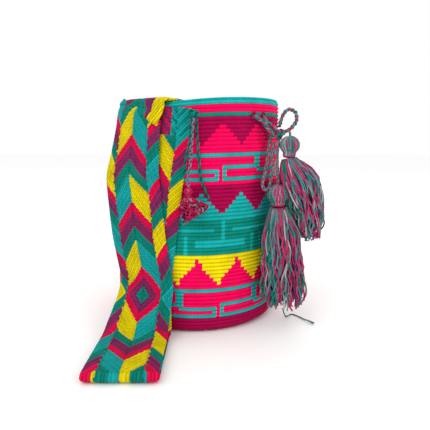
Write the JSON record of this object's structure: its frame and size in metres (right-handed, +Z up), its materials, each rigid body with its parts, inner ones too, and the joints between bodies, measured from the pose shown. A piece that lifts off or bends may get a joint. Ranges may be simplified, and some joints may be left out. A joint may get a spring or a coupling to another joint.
{
  "type": "mochila bag",
  "caption": "Crocheted bucket-shaped shoulder bag with a wide braided strap, a bow-tied drawstring and yarn tassels, standing open on its flat base.",
  "frame": {"origin": "centre of the bag's flat base, on its underside", "axes": "+Z up through the open mouth; -Y is the front, where the strap and the tassels hang; +X is the right side seen from the front"},
  "size_m": [0.2551, 0.3167, 0.2778],
  "materials": {
    "crochet_body": "dense single crochet in acrylic yarn",
    "braided_strap": "dense diagonal braid in acrylic yarn",
    "braided_cord": "round braid of mixed yarns",
    "tassel_yarn": "loose plied yarn of mixed colours",
    "rose_yarn": "loose plied yarn",
    "green_yarn": "twisted yarn",
    "grey_yarn": "three-strand plait"
  },
  "bodies": {
    "root": {"bag_body": "crochet_body", "strap": "braided_strap", "drawstring": "braided_cord", "bow_knot": "braided_cord", "bow_loop_upper": "braided_cord", "bow_loop_lower": "braided_cord", "upper_tassel_cord": "braided_cord", "lower_tassel_cord": "braided_cord", "upper_tassel_head": "tassel_yarn", "upper_tassel_tie": "rose_yarn", "upper_tassel_skirt": "tassel_yarn", "lower_tassel_head": "tassel_yarn", "lower_tassel_tie": "rose_yarn", "lower_tassel_skirt": "tassel_yarn", "small_tassel_head": "rose_yarn", "small_tassel_tie": "rose_yarn", "small_tassel_skirt": "rose_yarn", "seam_knot": "green_yarn", "seam_string_long": "green_yarn", "seam_string_short": "green_yarn", "seam_braid": "grey_yarn", "tassel_thread": "green_yarn", "tassel_thread_tip": "green_yarn"}
  },
  "joints": []
}
